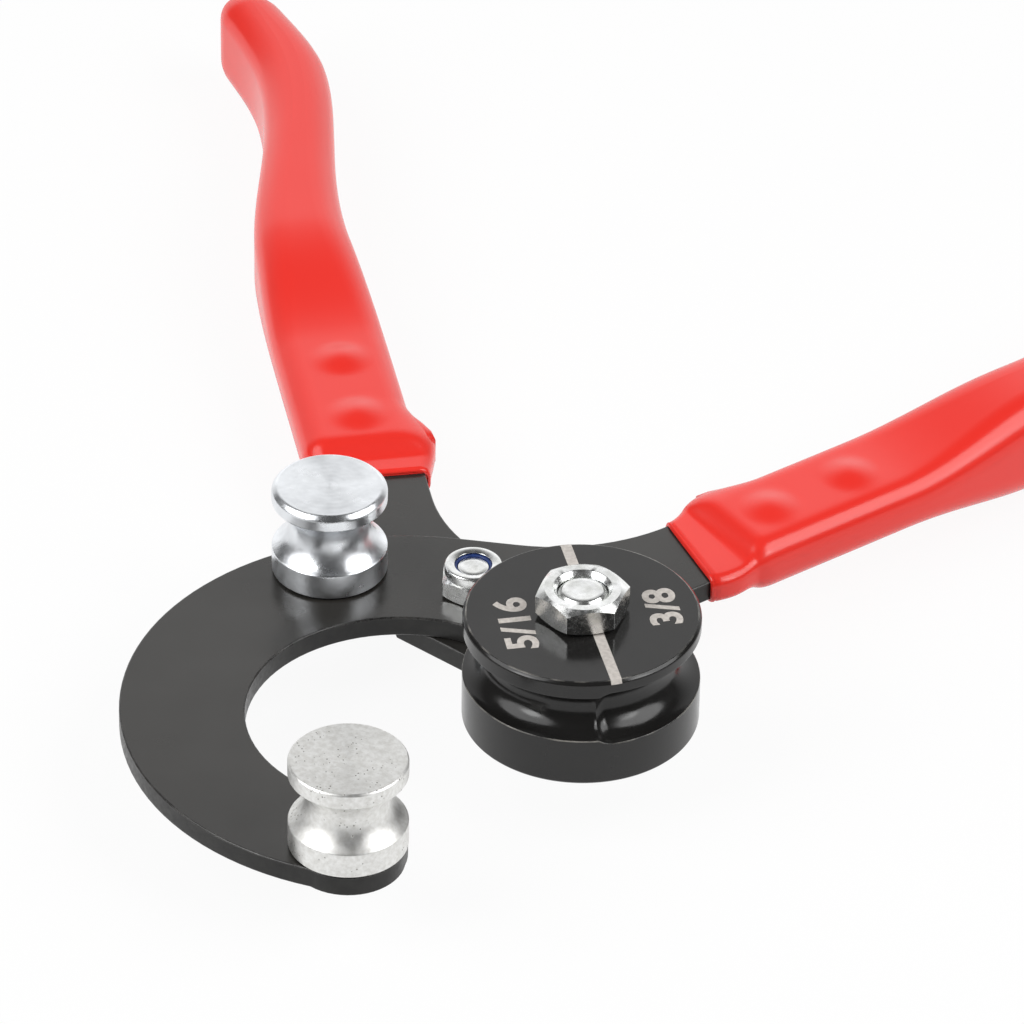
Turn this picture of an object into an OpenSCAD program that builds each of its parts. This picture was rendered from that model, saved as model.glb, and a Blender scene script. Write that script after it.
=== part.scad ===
// Tube bending pliers for two tube sizes.
// A C-shaped jaw plate carries two grooved rollers and the right handle.
// A die plate below it carries the two-groove bending die and the left handle.
// Z is the pivot axis, Y runs between the handles and z = 0 is the foot of the pivot bolt.

/* [Tubes] */
// Outside diameter of the smaller tube, 5/16 inch
small_tube_d = 7.94; // [6:0.01:8.4]
// Outside diameter of the larger tube, 3/8 inch
large_tube_d = 9.53; // [8.5:0.01:10.3]
// Play of a tube in its groove, on the diameter
groove_play = 0.16; // [0.05:0.01:0.4]
// Height of the tube's axis above the jaw plate
tube_height = 9; // [8.5:0.1:11]

/* [Plates] */
// Thickness of the jaw plate and of the die plate
plate_t = 3.5; // [3:0.1:5]
// Running gap between flat faces that turn on each other
face_gap = 0.1; // [0.05:0.01:0.2]
// Running clearance of a pin in its hole, on the radius
pin_clear = 0.05; // [0.02:0.01:0.08]
// Distance from the pivot to the die bolt
die_reach = 32.5; // [32:0.1:34]
// Direction of the die bolt from the pivot when the pliers are closed
closed_bearing = -62; // [-70:0.1:-50]
// Radius of the jaw's open throat
throat_r = 24.4; // [23:0.1:26]
// How far the throat's centre lies beyond the closed die
throat_shift = 1.4; // [0.5:0.1:2.5]
// Outer radius of the jaw
jaw_r = 44.8; // [43.5:0.1:47]
// How far the jaw's outer centre lies short of the closed die
rim_shift = 0.8; // [0:0.1:2]
// Radius of the jaw's tip round the front roller
tip_r = 8.8; // [7.5:0.1:9.5]
// Angle of the jaw plate's straight back edge to its handle
back_edge_angle = 45; // [40:1:50]
// Inside radius between the back edge and the jaw plate's neck
jaw_neck_r = 32; // [20:1:40]
// Radius of the die plate round the pivot
die_hub_r = 12.6; // [11:0.1:13.5]
// Radius of the die plate's nose under the die
nose_r = 12.5; // [10:0.1:14]
// Inside radius between the die plate's waist and its nose
waist_fillet_r = 8; // [5:0.5:12]
// Depth of the waist, as its edge's distance from the pivot
waist_reach = 10.5; // [9.5:0.1:11]
// Inside radius between the die plate's hub and its neck
die_neck_r = 30; // [25:1:60]

/* [Swing] */
// Angle between the handles in the pose drawn here
open_angle = 65; // [20:1:75]
// Angle between the handles when the die is in the middle of the jaw
closed_angle = 14.7; // [12:0.1:18]
// Widest angle between the handles
widest_angle = 75; // [70:1:76]
// Room left round parts that swing past each other
swing_gap = 0.4; // [0.3:0.05:0.8]

/* [Bending die] */
// Diameter of the die
die_d = 37.2; // [35:0.1:38]
// Height of the flange above the larger groove
die_flange_t = 2.2; // [1.2:0.1:3]
// Chamfer of the die's rims
die_chamfer = 0.5; // [0.2:0.1:0.8]

/* [Rollers] */
// Diameter of the rollers
roller_d = 18.5; // [17.5:0.1:20]
// Height of the rollers
roller_h = 15.7; // [15:0.1:18]
// Diameter of a roller in the bottom of its groove
roller_neck_d = 13; // [11:0.1:14]
// Gap between a roller and the jaw plate
roller_lift = 0.3; // [0.2:0.05:0.4]
// Turn of the front roller round the closed die, from the line out of the pivot
front_roller_turn = 5.8; // [0:0.1:12]
// Top chamfer of the front roller
front_roller_chamfer = 0.3; // [0.2:0.1:1]
// Distance of the rear roller's axis inside the jaw's outer radius
rear_roller_inset = 6.2; // [5:0.1:7]
// Turn of the rear roller round the closed die, from the line out of the pivot
rear_roller_turn = -142.4; // [-144:0.1:-141]
// Top chamfer of the rear roller
rear_roller_chamfer = 0.9; // [0.2:0.1:1]
// Diameter of a roller's spindle
spindle_d = 9; // [7:0.1:10]
// Diameter of the washer under the plate
roller_washer_d = 14; // [13:0.1:15]
// Thickness of that washer
roller_washer_t = 1.2; // [0.8:0.1:1.5]
// Diameter of the peened spindle end
peen_d = 11.5; // [11:0.1:12.5]
// Height of the peened spindle end
peen_h = 1; // [0.6:0.1:1.4]

/* [Fasteners] */
// Thread diameter of the pivot bolt
pivot_d = 5; // [4.6:0.1:5.6]
// Width across flats of the pivot bolt and its lock nut
pivot_af = 9.5; // [9.3:0.1:11]
// Height of the pivot bolt's head
pivot_head_h = 2.7; // [2.4:0.1:4]
// Length of the pivot bolt under its head
pivot_bolt_len = 12.7; // [12.2:0.1:14]
// Diameter of the washer under that head
pivot_washer_d = 12; // [11.5:0.1:14]
// Thickness of that washer
pivot_washer_t = 1; // [0.8:0.1:1.6]
// Height of the lock nut's hexagon
lock_nut_hex_h = 3.6; // [3:0.1:4.4]
// Height of the collar above that hexagon
lock_collar_h = 1.7; // [1.5:0.1:2.5]
// Diameter of the collar
lock_collar_d = 9.2; // [8.8:0.1:9.6]
// Turn of the lock nut on its bolt
lock_nut_turn = 25; // [0:1:59]
// Diameter of the collar's mouth
lock_mouth_d = 6.3; // [6:0.1:7]
// Outside diameter of the nylon ring in the collar
lock_ring_d = 7.6; // [7.2:0.1:8.2]
// Height of the nylon ring
lock_ring_h = 1.2; // [0.9:0.1:1.4]
// Thread diameter of the die bolt
die_bolt_d = 8; // [7:0.1:8.5]
// Width across flats of the die bolt and its nut
die_bolt_af = 13; // [12:0.1:14]
// Height of the die bolt's head
die_bolt_head_h = 3.7; // [3.2:0.1:5.4]
// Length of the die bolt under its head
die_bolt_len = 27.5; // [26.6:0.1:29]
// Height of the die nut
die_nut_h = 4.7; // [4.2:0.1:6.8]
// Depth of the countersink at the die nut's thread
nut_mouth = 0.3; // [0.1:0.05:0.8]
// Chamfer of the bolts' points
point_chamfer = 0.6; // [0.3:0.1:1]
// Slope of the bevel on hexagon corners
hex_bevel = 33; // [25:1:40]
// Diameter of the handle rivets
rivet_d = 5; // [4:0.1:6]
// Diameter of the rivet heads
rivet_head_d = 9; // [8:0.1:10]
// Height of the rivet heads
rivet_head_h = 1.1; // [0.8:0.1:1.4]
// Height of the rim of the rivet heads
rivet_rim_h = 0.3; // [0.1:0.1:0.6]
// Diameter of the flat crown of the rivet heads
rivet_crown_d = 5; // [3:0.1:7]
// Distance between the two rivets of a handle
rivet_pitch = 16.2; // [14:0.1:18]

/* [Handles] */
// Offset of the jaw handle's rivet line from the pivot
jaw_handle_x = 12; // [11:0.1:13]
// Distance of the jaw handle's first rivet along its handle
jaw_rivet_y = 50; // [49:0.1:58]
// Offset of the die handle's rivet line from the pivot
die_handle_x = 9.4; // [8.5:0.1:11]
// Distance of the die handle's first rivet along its handle
die_rivet_y = 52.5; // [51:0.1:60]
// Reach of a plate's neck from the rivet line to the inner side
neck_in = 8.5; // [8:0.1:9]
// Reach of a plate's neck from the rivet line to the outer side
neck_out = 7.9; // [7.5:0.1:8.5]
// Extra reach of the inner shoulder that stops the handle tube
shoulder_ear = 1.6; // [0:0.1:2]
// Play of the tang in the handle tube, each side
tang_play = 0.3; // [0.1:0.05:0.8]
// Length of the tang past the second rivet
tang_end = 9; // [7:0.5:14]
// Outward shift of the jaw handle's flat front from its rivets
jaw_flat_shift = -0.2; // [-0.6:0.1:0.8]
// Outward shift of the die handle's flat front from its rivets
die_flat_shift = 0.7; // [-0.6:0.1:0.8]
// Handle tube ahead of the first rivet
tube_lead = 7.5; // [7:0.1:9]
// Handle length past the first rivet
handle_len = 128.4; // [122:0.1:140]
// Wall of the handle tube
tube_wall = 1.8; // [1.5:0.1:2.4]
// Width of the flattened front of the tube
flat_w = 16.9; // [16.6:0.1:19]
// Width of the tube at its waist
waist_w = 9.9; // [9:0.1:12]
// Width of the tube at its end
end_w = 8.2; // [8:0.1:12]
// Thickness of the tube along the palm
palm_t = 16; // [13:0.1:18]
// Edge radius of the flattened front
flat_edge_r = 1.6; // [1:0.1:2]
// Edge radius of the palm and end
palm_edge_r = 3.8; // [2.8:0.1:3.9]
// Inward sweep of the waist from the rivet line
waist_sweep = 6; // [3:0.1:8]
// Outward flare of the handle's end
end_flare = 6.4; // [2:0.1:8]
// Flat run of the handle past the rear rivet's head
flat_tail = 1.5; // [1:0.1:8]
// Length over which the flat front rounds out
round_len = 31; // [25:1:50]
// Where the narrowing ends
taper_to = 89; // [80:1:105]
// Where the handle starts to sweep inward
sweep_from = 50; // [40:1:60]
// Where the waist is
waist_at = 102.5; // [95:0.5:108]
// Length over which the end flares
flare_len = 37; // [25:1:40]

/* [Grips] */
// Thickness of the vinyl dip on the handle tube
vinyl_t = 1.2; // [0.9:0.05:1.4]
// Thickness of the vinyl on the plate's neck
neck_vinyl_t = 0.85; // [0.5:0.05:1]
// Bead of the vinyl on the neck's outer side
neck_bead = 0.9; // [0:0.1:1.5]
// Reach of the vinyl's bulge over the inner shoulder
bulge_reach = 11.8; // [11.6:0.1:13]
// Distance of that bulge ahead of the first rivet
bulge_lead = 5.5; // [4:0.1:7]
// Half length of that bulge
bulge_len = 10; // [7:0.5:11]
// Height of the vinyl's swell over a rivet
swell_h = 1.45; // [1.3:0.05:2]
// Diameter of that swell
swell_d = 14.4; // [13:0.1:16]
// Start of the jaw handle's dip ahead of its first rivet
jaw_dip_lead = 16; // [15.5:0.1:18]
// Start of the die handle's dip ahead of its first rivet
die_dip_lead = 14.3; // [13.5:0.1:18]
// Slant of the jaw handle's dip line, outward
jaw_dip_slope = -0.22; // [-0.3:0.01:0.2]
// Slant of the die handle's dip line, outward
die_dip_slope = 0.03; // [-0.2:0.01:0.22]
// Gap between the vinyl and the metal under it
dip_gap = 0.05; // [0.03:0.01:0.1]
// Round of the grip's end
end_round = 5; // [3:0.5:5]

/* [Hidden] */
$fn = 96;

// Heights, from the foot of the pivot bolt up
die_plate_z = pivot_head_h + pivot_washer_t;
jaw_plate_z = die_plate_z + plate_t + face_gap;
jaw_top_z = jaw_plate_z + plate_t;
die_z = die_plate_z + plate_t + face_gap;
tube_axis_z = jaw_top_z + tube_height;
small_groove_r = (small_tube_d + groove_play) / 2;
large_groove_r = (large_tube_d + groove_play) / 2;
die_top_z = tube_axis_z + large_groove_r + die_flange_t;
die_nut_z = die_top_z + face_gap;

// Plan of the two arms, each in its own frame with its handle along Y
function polar(r, a) = [r * cos(a), r * sin(a)];
jaw_bearing = closed_bearing + closed_angle / 2;
die_bearing = closed_bearing - closed_angle / 2;
closed_die = polar(die_reach, jaw_bearing);
die_bolt_at = polar(die_reach, die_bearing);
front_roller_at = closed_die + polar(jaw_r - tip_r, jaw_bearing + front_roller_turn);
rear_roller_at = closed_die + polar(jaw_r - rear_roller_inset, jaw_bearing + rear_roller_turn);
waist_turn = asin(waist_reach / die_reach);
waist_back = die_bearing + 180 + waist_turn;
waist_side = die_bearing - 90 + waist_turn;
widest_die = polar(die_reach, die_bearing + widest_angle);
widest_rear_roller = [
    rear_roller_at.x * cos(widest_angle) + rear_roller_at.y * sin(widest_angle),
    rear_roller_at.y * cos(widest_angle) - rear_roller_at.x * sin(widest_angle),
];
jaw_hub_r = die_reach - die_d / 2 - swing_gap;
throat_at = polar(die_reach + throat_shift, jaw_bearing);
rim_at = polar(die_reach - rim_shift, jaw_bearing);
tip_way = front_roller_at - throat_at;
inner_tip_at = throat_at + tip_way / norm(tip_way) * (throat_r + tip_r);

// Handle sections, at a distance s past the first rivet
pocket_t = plate_t + 2 * dip_gap;
flat_t = pocket_t + 2 * tube_wall;
tang_w = flat_w - 2 * tube_wall - 2 * tang_play;
tube_tip = handle_len - vinyl_t;
shoulder_s = -tube_lead - face_gap;
function ear_from(lead) = -(lead + tube_lead) / 2;
taper_from = rivet_pitch + rivet_head_d / 2 + flat_tail;
round_by = taper_from + round_len;
function ease(s, from, to) =
    let (t = min(1, max(0, (s - from) / (to - from))))
    t * t * (3 - 2 * t);
function mix(a, b, t) = a + (b - a) * t;
function centre_x(s, shift) =
    mix(shift, -waist_sweep, ease(s, sweep_from, waist_at))
    + end_flare * ease(s, waist_at, waist_at + flare_len);
function half_w(s) =
    mix(flat_w, waist_w, ease(s, taper_from, taper_to)) / 2
    + (end_w - waist_w) / 2 * ease(s, waist_at, handle_len);
function half_t(s) = mix(flat_t, palm_t, ease(s, taper_from, round_by)) / 2;
function edge_r(s) = mix(flat_edge_r, palm_edge_r, ease(s, taper_from, round_by));

// Swell of the vinyl over the rivet heads, and its bulge over the inner shoulder
SWELL_STEEPNESS = 1.6;
function swell(x, s) =
    let (near = min(s * s, (s - rivet_pitch) * (s - rivet_pitch)))
    let (k = max(0, 1 - (x * x + near) / (swell_d * swell_d / 4)))
    swell_h * min(1, SWELL_STEEPNESS * k);
function bulge(s) = ease(bulge_len - abs(s + bulge_lead), 0, bulge_len);

// One ring of a handle loft: a rounded rectangle, listed round from the outer side
CORNER_STEPS = 3;
FLAT_STEPS = [0.75, 0.4, 0, -0.4, -0.75];
function corner(x, z, r, start) = [
    for (k = [0:CORNER_STEPS])
        let (a = start + 90 * k / CORNER_STEPS)
        [x + r * cos(a), z + r * sin(a)]
];
function section(w, t, r) = concat(
    corner(w - r, t - r, r, 0),
    [for (f = FLAT_STEPS) [f * (w - r), t]],
    corner(r - w, t - r, r, 90),
    corner(r - w, r - t, r, 180),
    [for (f = FLAT_STEPS) [-f * (w - r), -t]],
    corner(w - r, r - t, r, 270)
);
RING_SIZE = len(section(2, 2, 1));
function ring(s, shift, w, t, r, lift = 0, fat = 0) =
    let (middle = centre_x(s, shift))
    let (spread = fat * bulge(s) * max(0, bulge_reach + middle - w))
    [
        for (p = section(w, t, r))
            let (edge = max(0, (r - w - p.x) / r))
            [
                p.x + middle - spread * edge,
                s,
                p.y + sign(p.y) * lift * swell(p.x + middle, s),
            ]
    ];

// A closed skin over a list of rings
module loft(rings) {
    last = len(rings) - 1;
    sides = [
        for (i = [0:last - 1])
            for (k = [0:RING_SIZE - 1])
                let (a = i * RING_SIZE + k)
                let (b = i * RING_SIZE + (k + 1) % RING_SIZE)
                each [
                    [a, b, a + RING_SIZE],
                    [b, b + RING_SIZE, a + RING_SIZE],
                ]
    ];
    ends = [
        [for (k = [RING_SIZE - 1:-1:0]) k],
        [for (k = [0:RING_SIZE - 1]) last * RING_SIZE + k],
    ];
    polyhedron(points = [for (r = rings) each r], faces = concat(sides, ends));
}

// Stations along a handle: close together over the rivets, wider along the palm
RIVET_STEPS = 14;
PALM_STEPS = 15;
MOUTH_RUN = 1.5;
first_station = MOUTH_RUN - tube_lead;
rivet_stations = [for (i = [0:RIVET_STEPS]) mix(first_station, taper_from, i / RIVET_STEPS)];
palm_stations = [for (i = [1:PALM_STEPS]) mix(taper_from, tube_tip - end_round, i / PALM_STEPS)];
tip_turns = [25, 50, 70];

// Frames of the two arms, of their handles and of what stands on them
module on_jaw_arm() {
    rotate([0, 0, -open_angle / 2])
        children();
}

module on_die_arm() {
    rotate([0, 0, open_angle / 2])
        children();
}

module on_jaw_handle() {
    on_jaw_arm()
        translate([jaw_handle_x, jaw_rivet_y, jaw_plate_z + plate_t / 2])
            children();
}

module on_die_handle() {
    on_die_arm()
        translate([-die_handle_x, die_rivet_y, die_plate_z + plate_t / 2])
            mirror([1, 0, 0])
                children();
}

module at_plan(p, z = 0) {
    translate([p.x, p.y, z])
        children();
}

module round_hole(p, d) {
    translate(p)
        circle(d = d + 2 * pin_clear);
}

// Sheet of plate, or a cut right through it, for each plan given
module sheet(over = 0) {
    for (i = [0:$children - 1])
        translate([0, 0, -over])
            linear_extrude(plate_t + 2 * over)
                children(i);
}

// Hexagon with its corners turned off on the chosen ends
module hexagon(af, h, top = true, bottom = true) {
    corner_r = af / sqrt(3);
    bevel = (corner_r - af / 2) * tan(hex_bevel);
    intersection() {
        cylinder(r = corner_r, h = h, $fn = 6);
        rotate_extrude()
            polygon([
                [0, 0],
                [bottom ? af / 2 : corner_r, 0],
                [corner_r, bottom ? bevel : 0],
                [corner_r, top ? h - bevel : h],
                [top ? af / 2 : corner_r, h],
                [0, h],
            ]);
    }
}

// Bolt standing head down, its head's seat at z = 0
module hex_bolt(d, length, af, head_h) {
    translate([0, 0, -head_h])
        hexagon(af, head_h, top = false);
    rotate_extrude()
        polygon([
            [0, -head_h / 2],
            [d / 2, -head_h / 2],
            [d / 2, length - point_chamfer],
            [d / 2 - point_chamfer, length],
            [0, length],
        ]);
}

// Tang and shoulders in a handle's own plan
module tang_plan(shift) {
    translate([shift - tang_w / 2, shoulder_s - plate_t])
        square([tang_w, plate_t - shoulder_s + rivet_pitch + tang_end]);
}

module rivet_hole(first, s) {
    round_hole(first + [0, s], rivet_d);
}

// Jaw plate in plan
module jaw_ring_plan() {
    tip_line = jaw_bearing + front_roller_turn;
    far = 3 * jaw_r;
    difference() {
        translate(rim_at)
            circle(r = jaw_r);
        polygon([
            closed_die,
            closed_die + polar(far, tip_line),
            closed_die + polar(far, tip_line + 60),
            closed_die + polar(far, tip_line + 120),
            polar(-far, jaw_bearing),
            [0, 0],
        ]);
    }
}

module jaw_tip_plan(p) {
    translate(p)
        circle(r = tip_r);
}

module jaw_neck_plan() {
    back = 90 + back_edge_angle;
    back_reach = rim_at * polar(1, back) + jaw_r;
    inner_x = jaw_handle_x - neck_in;
    outer_x = jaw_handle_x + neck_out;
    bend_x = inner_x - jaw_neck_r;
    bend_y = (back_reach + jaw_neck_r - bend_x * cos(back)) / sin(back);
    difference() {
        polygon([
            [0, 0],
            rim_at + polar(jaw_r, back),
            [bend_x, bend_y] - polar(jaw_neck_r, back),
            [inner_x, bend_y],
            [inner_x, jaw_rivet_y + ear_from(jaw_dip_lead)],
            [inner_x - shoulder_ear, jaw_rivet_y + shoulder_s],
            [outer_x, jaw_rivet_y + shoulder_s],
            [outer_x, 0],
        ]);
        translate([bend_x, bend_y])
            circle(r = jaw_neck_r);
    }
}

module jaw_plate() {
    color("#343230")
        on_jaw_arm()
            translate([0, 0, jaw_plate_z])
                difference() {
                    sheet() {
                        jaw_ring_plan();
                        jaw_tip_plan(front_roller_at);
                        jaw_tip_plan(inner_tip_at);
                        jaw_neck_plan();
                        circle(r = jaw_hub_r);
                        translate([jaw_handle_x, jaw_rivet_y])
                            tang_plan(jaw_flat_shift);
                    }
                    sheet(over = 1) {
                        translate(throat_at)
                            circle(r = throat_r);
                        translate(widest_die)
                            circle(d = die_d + 2 * swing_gap);
                        round_hole([0, 0], pivot_d);
                        round_hole(front_roller_at, spindle_d);
                        round_hole(rear_roller_at, spindle_d);
                        rivet_hole([jaw_handle_x, jaw_rivet_y], 0);
                        rivet_hole([jaw_handle_x, jaw_rivet_y], rivet_pitch);
                    }
                }
}

// Die plate in plan
module die_arm_plan() {
    difference() {
        union() {
            circle(r = die_hub_r);
            polygon([
                [0, 0],
                polar(die_hub_r, die_bearing - 90),
                die_bolt_at,
                die_bolt_at + polar(nose_r, die_bearing + 90),
                polar(die_hub_r, die_bearing + 90),
            ]);
        }
        polygon([
            die_bolt_at,
            die_bolt_at + polar(2 * die_reach, waist_back),
            die_bolt_at + polar(2 * die_reach, waist_back) + polar(die_hub_r, waist_side),
            die_bolt_at + polar(die_hub_r, waist_side),
        ]);
    }
}

module die_waist_fillet_plan() {
    run = sqrt(nose_r * nose_r + 2 * nose_r * waist_fillet_r);
    fillet_from = die_bolt_at + polar(run, waist_back);
    fillet_at = fillet_from + polar(waist_fillet_r, waist_side);
    fillet_to = mix(die_bolt_at, fillet_at, nose_r / (nose_r + waist_fillet_r));
    difference() {
        polygon([fillet_from, fillet_from - polar(nose_r / 4, waist_side), die_bolt_at, fillet_to]);
        translate(fillet_at)
            circle(r = waist_fillet_r);
    }
}

module die_nose_plan() {
    translate(die_bolt_at)
        circle(r = nose_r);
}

module die_neck_plan() {
    inner_x = neck_in - die_handle_x;
    outer_x = -neck_out - die_handle_x;
    bend_x = inner_x + die_neck_r;
    bend_reach = die_hub_r + die_neck_r;
    bend_y = sqrt(bend_reach * bend_reach - bend_x * bend_x);
    difference() {
        polygon([
            [0, 0],
            [bend_x, bend_y] * die_hub_r / bend_reach,
            [inner_x, bend_y],
            [inner_x, die_rivet_y + ear_from(die_dip_lead)],
            [inner_x + shoulder_ear, die_rivet_y + shoulder_s],
            [outer_x, die_rivet_y + shoulder_s],
            [outer_x, die_rivet_y - die_dip_lead - neck_out],
            polar(die_hub_r, 180),
        ]);
        translate([bend_x, bend_y])
            circle(r = die_neck_r);
    }
}

module die_plate() {
    color("#343230")
        on_die_arm()
            translate([0, 0, die_plate_z])
                difference() {
                    sheet() {
                        die_arm_plan();
                        die_waist_fillet_plan();
                        die_nose_plan();
                        die_neck_plan();
                        translate([-die_handle_x, die_rivet_y])
                            mirror([1, 0])
                                tang_plan(die_flat_shift);
                    }
                    sheet(over = 1) {
                        translate(widest_rear_roller)
                            circle(d = roller_washer_d + 2 * swing_gap);
                        round_hole([0, 0], pivot_d);
                        round_hole(die_bolt_at, die_bolt_d);
                        rivet_hole([-die_handle_x, die_rivet_y], 0);
                        rivet_hole([-die_handle_x, die_rivet_y], rivet_pitch);
                    }
                }
}

// Pivot
module pivot_bolt() {
    color("#c3c3bf")
        translate([0, 0, pivot_head_h])
            hex_bolt(pivot_d, pivot_bolt_len, pivot_af, pivot_head_h);
}

module pivot_washer() {
    color("#c3c3bf")
        translate([0, 0, pivot_head_h])
            linear_extrude(pivot_washer_t)
                difference() {
                    circle(d = pivot_washer_d);
                    round_hole([0, 0], pivot_d);
                }
}

module pivot_lock_nut() {
    nut_h = lock_nut_hex_h + lock_collar_h;
    lip_h = lock_collar_h - lock_ring_h;
    color("#c3c3bf")
        on_jaw_arm()
            translate([0, 0, jaw_top_z])
                difference() {
                    union() {
                        rotate([0, 0, lock_nut_turn])
                            hexagon(pivot_af, lock_nut_hex_h);
                        cylinder(d = lock_collar_d, h = nut_h - lip_h / 2);
                        cylinder(d = lock_collar_d - lip_h, h = nut_h);
                    }
                    translate([0, 0, -1])
                        cylinder(d = pivot_d + 2 * pin_clear, h = nut_h);
                    translate([0, 0, lock_nut_hex_h])
                        cylinder(d = lock_ring_d + 2 * pin_clear, h = lock_ring_h);
                    translate([0, 0, lock_nut_hex_h])
                        cylinder(d = lock_mouth_d, h = nut_h);
                }
}

module lock_nut_ring() {
    color("#2f62c4")
        translate([0, 0, jaw_top_z + lock_nut_hex_h])
            linear_extrude(lock_ring_h)
                difference() {
                    circle(d = lock_ring_d);
                    round_hole([0, 0], pivot_d);
                }
}

// Rollers
module roller(chamfer) {
    foot = roller_lift;
    top = roller_lift + roller_h;
    washer_z = -plate_t - face_gap - roller_washer_t;
    color("#d3d4d2")
        rotate_extrude()
            difference() {
                polygon([
                    [0, washer_z - peen_h],
                    [peen_d / 2 - peen_h / 2, washer_z - peen_h],
                    [peen_d / 2, washer_z - peen_h / 2],
                    [peen_d / 2, washer_z],
                    [spindle_d / 2, washer_z],
                    [spindle_d / 2, foot],
                    [roller_d / 2, foot],
                    [roller_d / 2, top - chamfer],
                    [roller_d / 2 - chamfer, top],
                    [0, top],
                ]);
                translate([roller_neck_d / 2 + large_groove_r, tube_height])
                    circle(r = large_groove_r);
            }
}

module roller_washer() {
    color("#b9bab8")
        translate([0, 0, -plate_t - face_gap - roller_washer_t])
            linear_extrude(roller_washer_t)
                difference() {
                    circle(d = roller_washer_d);
                    round_hole([0, 0], spindle_d);
                }
}

module front_roller() {
    on_jaw_arm()
        at_plan(front_roller_at, jaw_top_z)
            roller(front_roller_chamfer);
}

module front_roller_washer() {
    on_jaw_arm()
        at_plan(front_roller_at, jaw_top_z)
            roller_washer();
}

module rear_roller() {
    on_jaw_arm()
        at_plan(rear_roller_at, jaw_top_z)
            roller(rear_roller_chamfer);
}

module rear_roller_washer() {
    on_jaw_arm()
        at_plan(rear_roller_at, jaw_top_z)
            roller_washer();
}

// Die: one half is grooved for the smaller tube and the other for the larger
module half_groove(r) {
    translate([0, 0, tube_axis_z - die_z])
        rotate_extrude(angle = 180)
            translate([die_d / 2, 0])
                circle(r = r);
}

module bending_die() {
    die_h = die_top_z - die_z;
    rim = die_d / 2;
    color("#1d1c1c")
        on_die_arm()
            at_plan(die_bolt_at, die_z)
                difference() {
                    rotate_extrude()
                        polygon([
                            [die_bolt_d / 2 + pin_clear, 0],
                            [rim - die_chamfer, 0],
                            [rim, die_chamfer],
                            [rim, die_h - die_chamfer],
                            [rim - die_chamfer, die_h],
                            [die_bolt_d / 2 + pin_clear, die_h],
                        ]);
                    rotate([0, 0, 90])
                        half_groove(small_groove_r);
                    rotate([0, 0, -90])
                        half_groove(large_groove_r);
                }
}

module die_bolt() {
    color("#c3c3bf")
        on_die_arm()
            at_plan(die_bolt_at, die_plate_z)
                hex_bolt(die_bolt_d, die_bolt_len, die_bolt_af, die_bolt_head_h);
}

module die_nut() {
    bore_r = die_bolt_d / 2 + pin_clear;
    color("#c3c3bf")
        on_die_arm()
            at_plan(die_bolt_at, die_nut_z)
                difference() {
                    hexagon(die_bolt_af, die_nut_h);
                    translate([0, 0, -1])
                        cylinder(r = bore_r, h = die_nut_h + 2);
                    translate([0, 0, die_nut_h - nut_mouth])
                        cylinder(r1 = bore_r, r2 = bore_r + 2 * nut_mouth, h = 2 * nut_mouth);
                    translate([0, 0, -nut_mouth])
                        cylinder(r1 = bore_r + 2 * nut_mouth, r2 = bore_r, h = 2 * nut_mouth);
                }
}

// Handles
TIP_PINCH = 0.8;
TIP_FLAT = 0.2;
BORE_ROUND = 0.8;
function tube_ring(s, shift, grow = 0, lift = 0, fat = 0) =
    ring(s, shift, half_w(s) + grow, half_t(s) + grow, edge_r(s) + grow, lift, fat);
function bore_ring(s, shift) =
    let (rounding = ease(s, taper_from, round_by))
    let (t = mix(pocket_t / 2, palm_t / 2 - tube_wall, rounding))
    let (w = half_w(s) - tube_wall)
    ring(s, shift, w, t, mix(tang_play / 2, min(t, w) * BORE_ROUND, rounding));
function tip_ring(turn, shift, grow) =
    let (s = tube_tip - end_round * (1 - sin(turn)) + grow * sin(turn))
    let (pinch = end_round * (1 - cos(turn)) * TIP_PINCH)
    let (w = half_w(s) + grow - pinch)
    let (t = half_t(s) + grow - pinch)
    ring(s, shift, w, t, min(edge_r(s) + grow, w - TIP_FLAT, t - TIP_FLAT));

module handle_tube(shift) {
    color("#8d8d8a")
        difference() {
            loft(concat(
                [for (i = [PALM_STEPS - 2:-1:0]) bore_ring(palm_stations[i], shift)],
                [bore_ring(taper_from, shift), bore_ring(-tube_lead, shift)],
                [tube_ring(-tube_lead, shift)],
                [for (s = concat(rivet_stations, palm_stations)) tube_ring(s, shift)],
                [for (turn = tip_turns) tip_ring(turn, shift, 0)]
            ));
            for (s = [0, rivet_pitch])
                translate([0, s, -flat_t])
                    cylinder(d = rivet_d + 2 * pin_clear, h = 2 * flat_t);
        }
}

module rivet() {
    seat = flat_t / 2;
    top = seat + rivet_head_h;
    rim = seat + rivet_rim_h;
    color("#9c9c99")
        rotate_extrude()
            polygon([
                [0, -top],
                [rivet_crown_d / 2, -top],
                [rivet_head_d / 2, -rim],
                [rivet_head_d / 2, -seat],
                [rivet_d / 2, -seat],
                [rivet_d / 2, seat],
                [rivet_head_d / 2, seat],
                [rivet_head_d / 2, rim],
                [rivet_crown_d / 2, top],
                [0, top],
            ]);
}

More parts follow.
